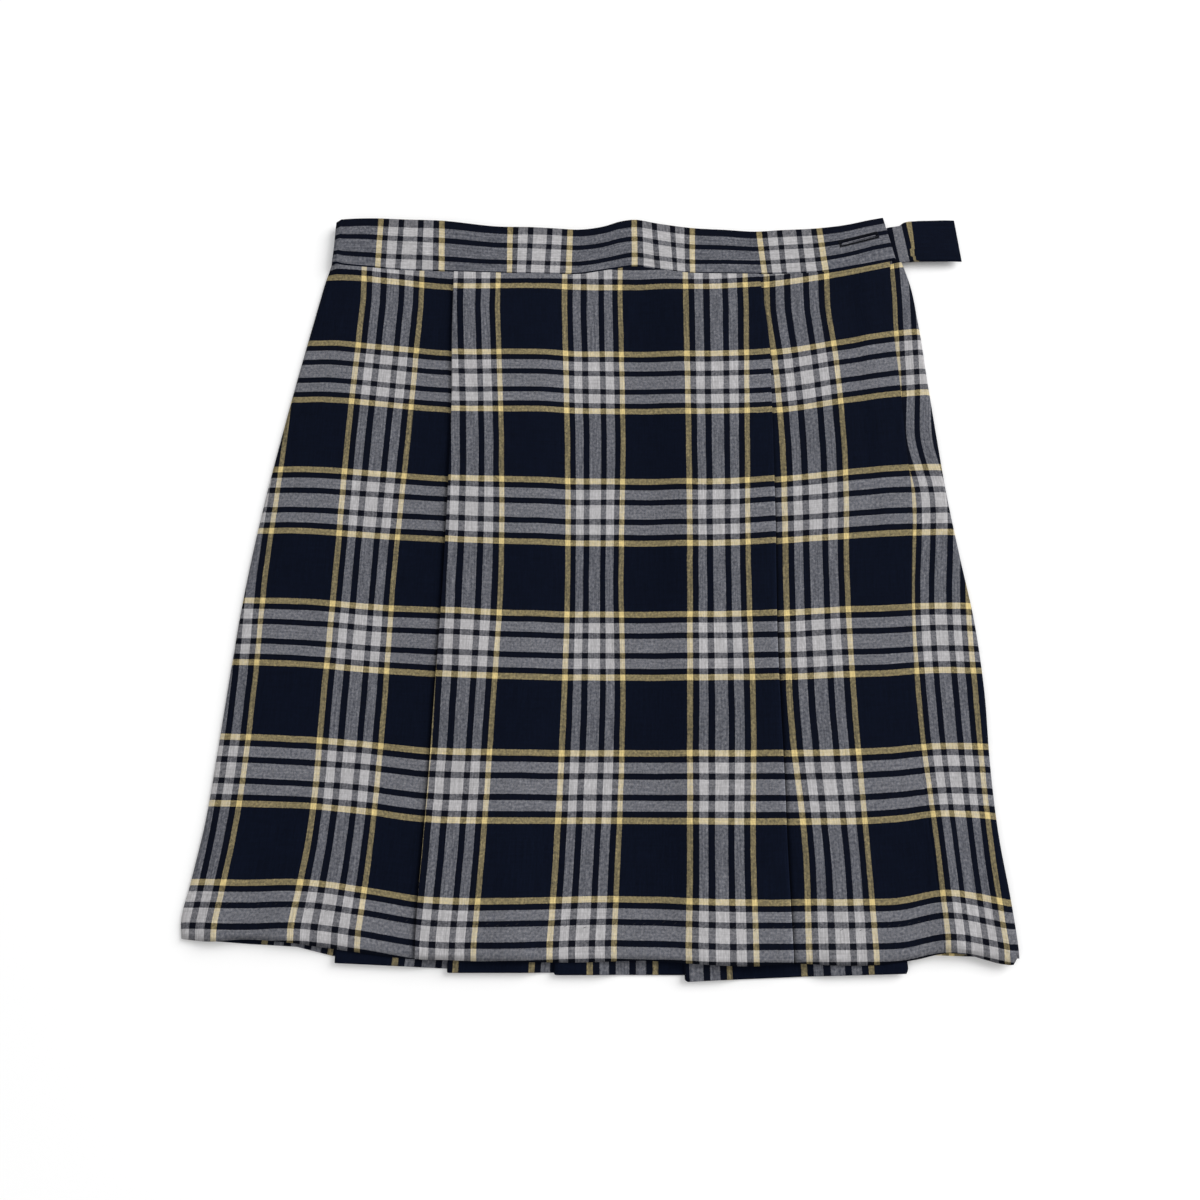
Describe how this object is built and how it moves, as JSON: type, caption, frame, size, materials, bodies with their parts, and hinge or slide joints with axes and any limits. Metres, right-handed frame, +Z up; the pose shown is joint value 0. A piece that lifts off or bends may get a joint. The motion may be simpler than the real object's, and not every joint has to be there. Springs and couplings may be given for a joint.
{
  "type": "pleated plaid skirt",
  "caption": "Plaid A-line skirt laid flat: raised centre panel between two pleats, folded waistband with a buttonhole, button tab and side opening.",
  "frame": {"origin": "middle of the laid skirt's outline, on the surface that it lies on", "axes": "+X to the viewer's right across the front, +Y from hem to waistband, +Z up from the surface through the front"},
  "size_m": [0.4422, 0.4444, 0.0075],
  "materials": {
    "plaid_cloth": "soft matt twill in a navy, grey and yellow plaid",
    "band_cloth": "the same twill, cut across the plaid and stiffened",
    "button": "dark navy polyester, half matt"
  },
  "bodies": {
    "root": {"front_panel": "plaid_cloth", "back_panel": "plaid_cloth", "waistband": "band_cloth", "button": "button"}
  },
  "joints": []
}
